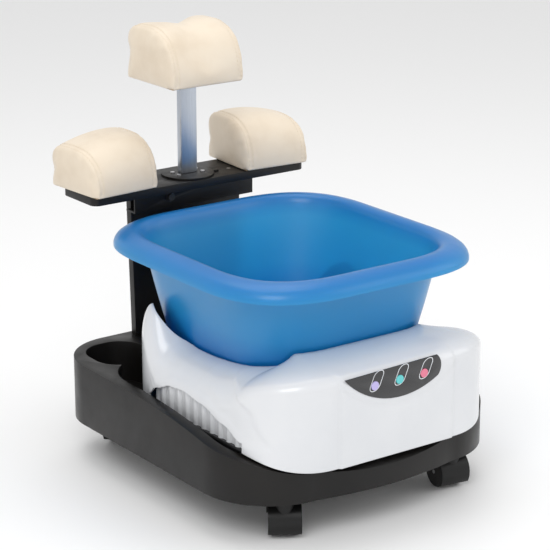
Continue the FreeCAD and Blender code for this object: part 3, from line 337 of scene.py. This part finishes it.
def make_basin():
    """A deep rounded-square bowl with a rolled rim, drawn in from the rim's outer edge."""
    low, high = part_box("basin")
    middle = (low + high) / 2
    half_x, half_y = (high.x - low.x) / 2, (high.y - low.y) / 2
    bpy.ops.mesh.primitive_plane_add(size=2, location=(middle.x, middle.y, high.z - RIM_HANG))
    basin = bpy.context.object
    basin.scale = (half_x, half_y, 1)
    settle(basin)
    edit(basin)
    bpy.ops.mesh.select_all(action="SELECT")
    bpy.ops.mesh.bevel(offset=BASIN_CORNER, segments=24, profile=0.60, affect="VERTICES")
    bpy.ops.mesh.select_all(action="SELECT")
    bpy.ops.mesh.delete(type="ONLY_FACE")
    bpy.ops.mesh.select_mode(type="EDGE")
    bpy.ops.mesh.select_all(action="SELECT")
    # each step: how far in from the rim's edge, and how far below the top
    steps = [(0.0, 0.0165), (0.0012, 0.0125), (0.0036, 0.0086), (0.0080, 0.0050), (0.0140, 0.0021),
             (0.0200, 0.0004), (0.0245, 0.0), (0.0285, 0.0013), (0.0312, 0.0045), (0.0330, 0.0100),
             (0.0346, 0.0180), (0.0376, 0.0330), (0.0424, 0.0560), (0.0485, 0.0850), (0.0560, 0.1180),
             (0.0640, 0.1500), (0.0690, 0.1660), (0.0750, 0.1760), (0.0840, 0.1815), (0.0980, 0.1838),
             (0.1150, 0.1842)]
    inset, level = 0.0, high.z - RIM_HANG
    for new_inset, drop in steps:
        bpy.ops.mesh.extrude_region_move(TRANSFORM_OT_translate={"value": (0, 0, high.z - drop - level)})
        bpy.ops.transform.resize(value=((half_x - new_inset) / (half_x - inset),
                                        (half_y - new_inset) / (half_y - inset), 1),
                                 center_override=(middle.x, middle.y, 0))
        inset, level = new_inset, high.z - drop
    bpy.ops.mesh.fill_grid(span=13, offset=0)
    bpy.ops.mesh.select_all(action="SELECT")
    bpy.ops.mesh.normals_make_consistent(inside=True)
    leave()
    wall = basin.modifiers.new("Wall", "SOLIDIFY")
    wall.thickness = BASIN_WALL
    wall.offset = -1
    apply_all(basin)
    outwards(basin)
    smooth(basin, 50)
    dressed(basin, "basin_bowl", basin_blue, "basin_blue", "basin", "basin")


make_basin()


# ---------------------------------------------------------------------------
# Bath shell
# ---------------------------------------------------------------------------
def blend_between(value, start, stop):
    """0 before start, 1 past stop, and a smooth ramp between."""
    share = min(1, max(0, (value - start) / (stop - start)))
    return share * share * (3 - 2 * share)


def along(value, stops):
    """A value read off a list of (place, value), eased between its stops."""
    if value <= stops[0][0]:
        return stops[0][1]
    for (a, va), (b, vb) in zip(stops, stops[1:]):
        if value <= b:
            return va + (vb - va) * blend_between(value, a, b)
    return stops[-1][1]


def inside_bowl(x, y, z, spare=0.0015):
    """Whether a place lies within the bowl's outer wall, grown by spare."""
    inset = along(z, ((0.175, 0.0745), (0.205, 0.0610), (0.237, 0.0530), (0.27, 0.0455), (0.30, 0.0395)))
    inset -= spare
    half_x = (BASIN_HIGH.x - BASIN_LOW.x) / 2 - inset
    half_y = (BASIN_HIGH.y - BASIN_LOW.y) / 2 - inset
    aside = abs(y - (BASIN_LOW.y + BASIN_HIGH.y) / 2)
    corner = 0.086
    dx = max(0, abs(x) - (half_x - corner))
    dy = max(0, aside - (half_y - corner))
    return abs(x) < half_x and aside < half_y and math.hypot(dx, dy) < corner


def straight(value, stops):
    for (a, va), (b, vb) in zip(stops, stops[1:]):
        if value <= b:
            return va + (vb - va) * max(0.0, (value - a) / (b - a))
    return stops[-1][1]


def shell_edge(y):
    """Height of the shell's top edge at a place along its outline: crown, dip, horn and open rear."""
    stops = ((-0.2845, 0.2475), (-0.230, 0.2390), (-0.180, 0.2280), (-0.120, 0.2175), (-0.060, 0.2120),
             (-0.010, 0.2120), (0.015, 0.2240), (0.035, 0.2500), (0.050, 0.2655), (0.070, 0.2650),
             (0.090, 0.2500), (0.1185, 0.1960))
    spots = [y + step * 0.004 for step in range(-4, 5)]
    return sum(straight(spot, stops) for spot in spots) / len(spots)


def arch_top(y):
    """Height of the vent's arch at a place along the side."""
    share = (VENT_HIGH.y - y) / (VENT_HIGH.y - VENT_LOW.y)
    return along(share, ((0, 0.146), (0.10, 0.164), (0.24, 0.176), (0.36, 0.1782), (0.55, 0.1735),
                         (0.75, 0.1600), (0.9, 0.1445), (1.0, 0.1335)))


FRONT_CORNER = 0.098        # corner radii of the shell's outline
REAR_CORNER = 0.114
SHELL_WALL = 0.003
GROOVE_MIDDLE = 0.006       # middle of the groove under the control panel, across the bath
CUTTER_POINTS = 40          # points of the outline that cuts a vent's opening
ARCH_POINTS = 30            # those of them that follow the arch


def make_bath_shell():
    """The white upper shell: a wall drawn up from its outline, then leant in to the bowl."""
    low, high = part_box("bath_shell")
    half, front, rear = high.x, low.y + 0.003, high.y
    bpy.ops.mesh.primitive_plane_add(size=2, location=(0, (front + rear) / 2, 0))
    shell = bpy.context.object
    shell.scale = (half, (rear - front) / 2, 1)
    settle(shell)
    edit(shell)
    pick(shell, "VERT", lambda c, n: c.y < 0)
    bpy.ops.mesh.bevel(offset=FRONT_CORNER, segments=34, affect="VERTICES")
    pick(shell, "VERT", lambda c, n: c.y > 0 and c.y > rear - 0.001)
    bpy.ops.mesh.bevel(offset=REAR_CORNER, segments=30, affect="VERTICES")
    bpy.ops.mesh.select_all(action="SELECT")
    bpy.ops.mesh.delete(type="ONLY_FACE")
    pick(shell, "EDGE", lambda c, d: d.length > 0.05)
    bpy.ops.mesh.subdivide(number_cuts=54)
    bpy.ops.mesh.select_mode(type="EDGE")
    bpy.ops.mesh.select_all(action="SELECT")
    levels = 52
    for step in range(levels):
        bpy.ops.mesh.extrude_region_move(TRANSFORM_OT_translate={"value": (0, 0, 1 / levels)})
    bpy.ops.mesh.select_all(action="SELECT")
    bpy.ops.mesh.normals_make_consistent(inside=False)
    leave()

    def crease_y(z):
        return along(z, ((0.10, -0.262), (0.131, -0.252), (0.181, -0.226), (0.229, -0.140)))

    leans = {}
    for vert in shell.data.vertices:
        x, y, share = vert.co
        key = (round(x, 5), round(y, 5))
        if key not in leans:
            # inward direction across the outline
            cx = math.copysign(max(0, abs(x) - (half - FRONT_CORNER)), x)
            cy = 0
            if y < front + FRONT_CORNER:
                cy = y - (front + FRONT_CORNER)
            elif y > rear - REAR_CORNER:
                cy = y - (rear - REAR_CORNER)
            inward = Vector((-cx, -cy, 0))
            if abs(abs(x) - half) < 1e-5:
                inward = Vector((-x, 0, 0))
            inward.normalize()
            top = shell_edge(y)
            reach = 0.0
            while reach < 0.1 and not inside_bowl(x + inward.x * reach, y + inward.y * reach, top):
                reach += 0.001
            horn = blend_between(y, -0.010, 0.055)
            reach = reach * (1 - horn) + min(reach, 0.017) * horn
            leans[key] = (inward, top, reach)
        inward, top, reach = leans[key]
        foot = 0.128 - 0.021 * blend_between(-y, 0.190, 0.292)
        front_share = blend_between(-y, 0.15, 0.25)
        rise = 0.050 - 0.022 * front_share
        rise = rise + 0.006 * blend_between(y, 0.0, 0.05)
        start = top - rise
        wall_share = 0.55
        if share < wall_share:
            height = foot + (start - foot) * share / wall_share
            lean = 0.0
        else:
            turn = (share - wall_share) / (1 - wall_share) * math.pi / 2
            power = 2 / (2.0 + 0.5 * front_share)
            height = start + rise * math.sin(turn) ** power
            lean = reach * (1 - max(0.0, math.cos(turn)) ** power)
        out = 0.0
        height = max(height, foot + 0.0001 * share)
        # front panel, proud of the wall
        if y < -0.2:
            out += 0.003 * blend_between(0.100 - abs(x), 0, 0.0035) * blend_between(0.240 - height, 0, 0.006)
            aside = abs(x - GROOVE_MIDDLE)
            groove = 0.214 - 0.036 + 0.030 * (aside / 0.088) ** 2.2
            if aside < 0.10 and height < 0.236:
                out -= 0.0016 * max(0, 1 - abs(height - groove) / 0.0045)
        # side face, set back behind the front crease
        behind = y - crease_y(height)
        if y < 0.0 and behind > 0:
            fade = 1 - blend_between(behind, 0.03, 0.085)
            out -= 0.0022 * blend_between(behind, 0, 0.010) * fade * blend_between(height, 0.136, 0.150)
        # brow over the vent's arch
        over = height - arch_top(y)
        if -0.22 < y < 0.03 and over > -0.01:
            fade = blend_between(y, -0.22, -0.15) * (1 - blend_between(y, 0.015, 0.03))
            out += 0.0022 * fade * (1 - blend_between(over, 0.004, 0.013))
        vert.co = Vector((x, y, height)) + inward * (lean - out)
    shell.data.update()
    wall = shell.modifiers.new("Wall", "SOLIDIFY")
    wall.thickness = SHELL_WALL
    wall.offset = -1
    apply_all(shell)
    for side, node in ((-1, "vent_grille_left"), (1, "vent_grille_right")):
        vent_low, vent_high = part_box(node)
        bpy.ops.mesh.primitive_circle_add(vertices=CUTTER_POINTS, radius=1, fill_type="NGON")
        cutter = bpy.context.object
        for index, vert in enumerate(cutter.data.vertices):
            if index < ARCH_POINTS:
                y = vent_low.y + 0.022 + (vent_high.y - vent_low.y - 0.025) * index / (ARCH_POINTS - 1)
                z = arch_top(y) - 0.0035
            else:
                past = index - (ARCH_POINTS - 0.5)
                y = vent_high.y - (vent_high.y - vent_low.y) * past / (CUTTER_POINTS - ARCH_POINTS + 0.5)
                z = 0.10
            vert.co = (side * 0.23, y, z)
        edit(cutter)
        bpy.ops.mesh.select_all(action="SELECT")
        bpy.ops.mesh.extrude_region_move(TRANSFORM_OT_translate={"value": (-side * 0.085, 0, 0)})
        bpy.ops.mesh.select_all(action="SELECT")
        bpy.ops.mesh.normals_make_consistent(inside=False)
        leave()
        opening = shell.modifiers.new("Arch", "BOOLEAN")
        opening.object = cutter
        opening.solver = "EXACT"
        apply_all(shell)
        bpy.data.objects.remove(cutter)
    arris = shell.modifiers.new("Arris", "BEVEL")
    arris.width = 0.0007
    arris.segments = 2
    arris.angle_limit = math.radians(55)
    apply_all(shell)
    smooth(shell, 42)
    dressed(shell, "bath_upper_shell", shell_white, "white_shell", "bath", "bath_shell")


make_bath_shell()


OUTLINE_WIDTH, OUTLINE_HEIGHT = 0.0175, 0.0285
OUTLINE_CORNER = 0.0080
OUTLINE_LINE = 0.0011       # width of the silver line
OUTLINE_PROUD = 0.0003
OUTLINE_SLANT = 0.42        # how far it leans aside for its height


def make_button_outlines():
    """A slanted silver outline round each button."""
    rings = []
    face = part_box("control_overlay")[0].y
    for name in ("button_left", "button_middle", "button_right"):
        low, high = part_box(name)
        middle = Vector(((low.x + high.x) / 2 + 0.0032, face, (low.z + high.z) / 2 + 0.0062))
        bpy.ops.mesh.primitive_plane_add(size=1, location=middle, rotation=(math.pi / 2, 0, 0))
        ring = bpy.context.object
        ring.scale = (OUTLINE_WIDTH, OUTLINE_HEIGHT, 1)
        settle(ring)
        edit(ring)
        bpy.ops.mesh.select_all(action="SELECT")
        bpy.ops.mesh.bevel(offset=OUTLINE_CORNER, segments=10, affect="VERTICES")
        leave()
        for vert in ring.data.vertices:
            vert.co.x += (vert.co.z - middle.z) * OUTLINE_SLANT
        edit(ring)
        bpy.ops.mesh.select_all(action="SELECT")
        bpy.ops.mesh.inset(thickness=OUTLINE_LINE)
        bpy.ops.mesh.delete(type="FACE")
        bpy.ops.mesh.select_all(action="SELECT")
        bpy.ops.mesh.extrude_region_move(TRANSFORM_OT_translate={"value": (0, -OUTLINE_PROUD, 0)})
        leave()
        rings.append(ring)
    for other in bpy.context.view_layer.objects:
        other.select_set(other in rings)
    bpy.context.view_layer.objects.active = rings[0]
    bpy.ops.object.join()
    outwards(rings[0])
    smooth(rings[0], 40)
    dressed(rings[0], "button_outlines", silver_line, "silver_line", "bath", "button_frames")


make_button_outlines()


# ---------------------------------------------------------------------------
# Cushions
# ---------------------------------------------------------------------------
WRAP = 0.0072               # how far a cushion's cover reaches down over its board
VOXEL = 0.004               # size of the mesh that is filled
SWELL_CAP = 0.0045          # furthest that filling moves the cover
SEAM_INSET = 0.0105         # how far a seam lies in from the cushion's end
SEAM_HALF = 0.005           # half the width of the hollow along a seam
SEAM_DEPTH = 0.0011
COVER_FOOT = 0.004          # nothing is sewn below this height
ROW_ASIDE = 0.0032          # a row of stitches, to either side of its seam
STITCH_PITCH = 0.0052
STITCH_CHAMFER = 0.0002
SWEEP_START, SWEEP, SWEEP_STEPS = -62, 304, 240     # degrees round a cushion that a row runs


def taper(y, depth):
    """How a cushion narrows from its rear to its front."""
    return 1.045 - 0.06 * (0.5 - y / depth)


def d_block(width, depth, height, front_round, rear_round):
    """A D-shaped block: curved from its top down to the front, and rounded more tightly behind."""
    bpy.ops.mesh.primitive_cube_add(size=1, location=(0, 0, height / 2))
    block = bpy.context.object
    block.scale = (width, depth, height)
    settle(block)
    edit(block)
    pick(block, "EDGE", lambda c, d: c.z > height * 0.9 and c.y < 0 and abs(d.x) > width * 0.9)
    bpy.ops.mesh.bevel(offset=front_round, segments=14, profile=0.55)
    pick(block, "EDGE", lambda c, d: c.z > height * 0.9 and c.y > depth * 0.45 and abs(d.x) > width * 0.9)
    bpy.ops.mesh.bevel(offset=rear_round, segments=8)
    for step in range(1, 14):
        bpy.ops.mesh.select_all(action="SELECT")
        bpy.ops.mesh.bisect(plane_co=(width * (step / 14 - 0.5), 0, 0), plane_no=(1, 0, 0))
    leave()
    for vert in block.data.vertices:
        vert.co.x *= taper(vert.co.y, depth)
        vert.co.y *= 1.015
    return block


def crown(block, rise):
    """Scale the height of each cross-section by rise(x)."""
    for vert in block.data.vertices:
        vert.co.z *= rise(vert.co.x)


def stuff(block, voxel, cap):
    """Fill the cushion with a short cloth simulation, never further than cap from its pattern."""
    only(block)
    remesh = block.modifiers.new("Foam", "REMESH")
    remesh.mode = "VOXEL"
    remesh.voxel_size = voxel
    apply_all(block)
    rest = [v.co.copy() for v in block.data.vertices]
    group = block.vertex_groups.new(name="seat")
    for vert in block.data.vertices:
        group.add([vert.index], 1.0 if vert.co.z < 0.002 else 0.0, "REPLACE")
    cloth = block.modifiers.new("Stuffing", "CLOTH")
    cloth.settings.use_pressure = True
    cloth.settings.uniform_pressure_force = 4
    cloth.settings.vertex_group_mass = "seat"
    cloth.settings.effector_weights.gravity = 0
    cloth.settings.tension_stiffness = 12
    cloth.settings.compression_stiffness = 12
    for step in range(1, 21):
        scene.frame_set(step)
    apply_all(block)
    scene.frame_set(1)
    for vert, start in zip(block.data.vertices, rest):
        pull = vert.co - start
        if pull.length > cap:
            vert.co = start + pull * (cap / pull.length)
    block.vertex_groups.clear()
    soften = block.modifiers.new("Ease", "SMOOTH")
    soften.factor = 0.5
    soften.iterations = 4
    finer = block.modifiers.new("Finer", "SUBSURF")
    finer.levels = 1
    finer.render_levels = 1
    apply_all(block)


def sew(block, seams, depth, height):
    """Draw the seams in, and lay two rows of stitches along each."""
    mesh = block.data
    for seam_x in seams:
        for vert in mesh.vertices:
            away = abs(vert.co.x / taper(vert.co.y, depth) - seam_x)
            if away < SEAM_HALF and vert.co.z > COVER_FOOT:
                ease = math.cos(away / SEAM_HALF * math.pi / 2) ** 2
                vert.co -= vert.normal * SEAM_DEPTH * ease
    mesh.update()
    stitches = []
    core = Vector((0, depth * 0.10, height * 0.32))
    for seam_x in seams:
        for row in (-ROW_ASIDE, ROW_ASIDE):
            x = seam_x + row
            path = []
            for step in range(SWEEP_STEPS + 1):
                angle = math.radians(SWEEP_START + step * (SWEEP / SWEEP_STEPS))
                heading = Vector((0, math.cos(angle), math.sin(angle)))
                start = Vector((x, core.y, core.z)) + heading * 0.2
                for _ in range(3):      # the taper moves the row aside, so it is met in three tries
                    found, spot, normal, _ = block.ray_cast(start, -heading)
                    if found:
                        start.x = x * taper(spot.y, depth)
                if found and spot.z > COVER_FOOT:
                    path.append((spot, normal))
            run, last = 0.0, 0.0
            for (a, na), (b, nb) in zip(path, path[1:]):
                run += (b - a).length
                if run - last > STITCH_PITCH:
                    last = run
                    stitches.append(((a + b) / 2 + na * 0.0002, (b - a).normalized(), na))
    return stitches


def lay_stitches(name, stitches, matrix, body):
    """One stitch is made, then copied along the rows and joined."""
    bpy.ops.mesh.primitive_cylinder_add(vertices=6, radius=0.00042, depth=0.0030)
    pattern = bpy.context.object
    edit(pattern)
    for end in (1, -1):
        pick(pattern, "FACE", lambda c, n: end * n.z > 0.9)
        bpy.ops.mesh.inset(thickness=STITCH_CHAMFER)
    leave()
    copies = []
    for spot, heading, normal in stitches:
        side = normal.cross(heading).normalized()
        up = heading.cross(side).normalized()
        turn = Matrix((side, up, heading)).transposed().to_4x4()
        stitch = pattern.copy()
        stitch.data = pattern.data.copy()
        scene.collection.objects.link(stitch)
        stitch.matrix_world = matrix @ Matrix.Translation(spot) @ turn
        copies.append(stitch)
    bpy.data.objects.remove(pattern)
    for other in bpy.context.view_layer.objects:
        other.select_set(other in copies)
    bpy.context.view_layer.objects.active = copies[0]
    bpy.ops.object.join()
    joined = bpy.context.object
    settle(joined)
    smooth(joined, 60)
    dressed(joined, name, thread_cream, "cream_leatherette", body)


def make_cushion(name, node, body, width, depth, height, rise, matrix, front_round, rear_round):
    block = d_block(width - 0.003, depth - 0.003, height - 0.0015, front_round, rear_round)
    crown(block, rise)
    stuff(block, VOXEL, SWELL_CAP)
    seams = [side * (width / 2 - SEAM_INSET) for side in (-1, 1)]
    stitches = sew(block, seams, depth, height)
    block.data.transform(matrix)
    smooth(block, 70)
    dressed(block, name, cream, "cream_leatherette", body, node)
    lay_stitches(name + "_stitches", stitches, matrix, body)


def make_cushions():
    low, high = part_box("foot_cushion")
    matrix = Matrix.Translation(((low.x + high.x) / 2, (low.y + high.y) / 2, low.z - WRAP))
    width, depth, height = high.x - low.x, high.y - low.y, high.z - low.z + WRAP

    def saddle(x):
        dip = math.cos(min(1, abs(x + 0.004) / (width * 0.40)) * math.pi / 2) ** 2
        return 1.02 - 0.115 * dip - 0.07 * (abs(x) / (width / 2)) ** 4
    make_cushion("foot_pad", "foot_cushion", "foot_rest", width, depth, height, saddle, matrix, 0.074, 0.024)
    toe = math.radians(4)
    for side, name in ((-1, "left"), (1, "right")):
        low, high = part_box("leg_cushion_" + name)
        matrix = (Matrix.Translation(((low.x + high.x) / 2, (low.y + high.y) / 2, low.z - WRAP))
                  @ Matrix.Rotation(-side * toe, 4, "Z"))
        height = high.z - low.z + WRAP

        def fall(x, side=side):
            out = side * x / 0.058
            if out > -0.45:
                return 1 - 0.20 * ((out + 0.45) / 1.45) ** 2
            return 1 - 0.05 * ((out + 0.45) / 0.55) ** 2
        make_cushion("leg_pad_" + name, "leg_cushion_" + name, "cart", 0.116, 0.114, height, fall, matrix,
                     0.068, 0.022)


make_cushions()


# ---------------------------------------------------------------------------
# Pieces that keep their node's shape, some with softened arrises
# ---------------------------------------------------------------------------
for node, name, material, slot, body, width in (
        ("cart_tray", "tray", tray_black, "tray_plastic", "cart", 0.0035),
        ("vent_grille_left", "vent_left", shell_white, "white_shell", "bath", 0.0008),
        ("vent_grille_right", "vent_right", shell_white, "white_shell", "bath", 0.0008),
        ("column", "column_channel", steel_black, "black_steel", "cart", 0.0008),
        ("crossbar", "cross_channel", steel_black, "black_steel", "cart", 0.0008),
        ("head_bracket", "column_head", steel_black, "black_steel", "cart", 0.0008),
        ("turntable_disc", "swivel_disc", steel_black, "black_steel", "foot_rest", 0.0005),
        ("footrest_post", "post", aluminium, "post_aluminium", "foot_rest", 0.0008),
        ("control_overlay", "control_panel", film_black, "control_film", "bath", 0.0003)):
    softened(node, name, material, slot, body, width)

FINISH_OF = {
    "fasteners": zinc, "black_bolt": bolt_black, "cushion_board": plywood, "dark_plastic": dark_plastic,
    "silver_line": silver_line, "lilac_button": lilac, "teal_button": teal, "rose_button": rose,
    "circuit_board": circuit, "motor_iron": iron, "rubber_feet": rubber, "caster_plastic": caster_black,
    "caster_tread": tread_black, "post_aluminium": aluminium,
}
for part in frame["record"]["subparts"]:
    node = NODES[part["node"]]
    if part["material_slot"] in FINISH_OF:
        node.data.materials.clear()
        node.data.materials.append(FINISH_OF[part["material_slot"]])


# ---------------------------------------------------------------------------
# Floor, light and camera
# ---------------------------------------------------------------------------
def make_stage():
    bpy.ops.mesh.primitive_plane_add(size=16, location=(0, 0, 0))
    floor = bpy.context.object
    floor.name = "floor"
    paper = finish("floor_paper", (0.93, 0.93, 0.93), 0.7)
    floor.data.materials.append(paper)
    world = bpy.data.worlds.new("studio")
    scene.world = world
    world.use_nodes = True
    world.node_tree.nodes["Background"].inputs["Color"].default_value = (1, 1, 1, 1)
    world.node_tree.nodes["Background"].inputs["Strength"].default_value = 0.78

    def lamp(name, place, aim, size, power):
        light = bpy.data.lights.new(name, "AREA")
        light.shape = "SQUARE"
        light.size = size
        light.energy = power
        holder = bpy.data.objects.new(name, light)
        scene.collection.objects.link(holder)
        holder.location = place
        holder.rotation_euler = (Vector(aim) - Vector(place)).to_track_quat("-Z", "Y").to_euler()

    lamp("key", (-1.6, -1.5, 2.2), (0, 0, 0.3), 1.4, 26)
    lamp("fill", (1.9, -1.6, 1.3), (0, 0, 0.25), 1.6, 9)
    lamp("top", (0.2, 0.6, 2.6), (0, 0, 0.3), 1.8, 16)


def make_camera():
    azimuth, elevation, distance = math.radians(-36), math.radians(17.38), 2.9673
    aim = Vector((-0.03815, -0.0565, 0.30884))
    away = Vector((math.sin(azimuth) * math.cos(elevation), -math.cos(azimuth) * math.cos(elevation),
                   math.sin(elevation)))
    data = bpy.data.cameras.new("camera")
    data.lens = 138.48
    data.sensor_width = 36
    camera = bpy.data.objects.new("camera", data)
    scene.collection.objects.link(camera)
    camera.location = aim + away * distance
    camera.rotation_euler = (-away).to_track_quat("-Z", "Y").to_euler()
    scene.camera = camera


make_stage()
make_camera()
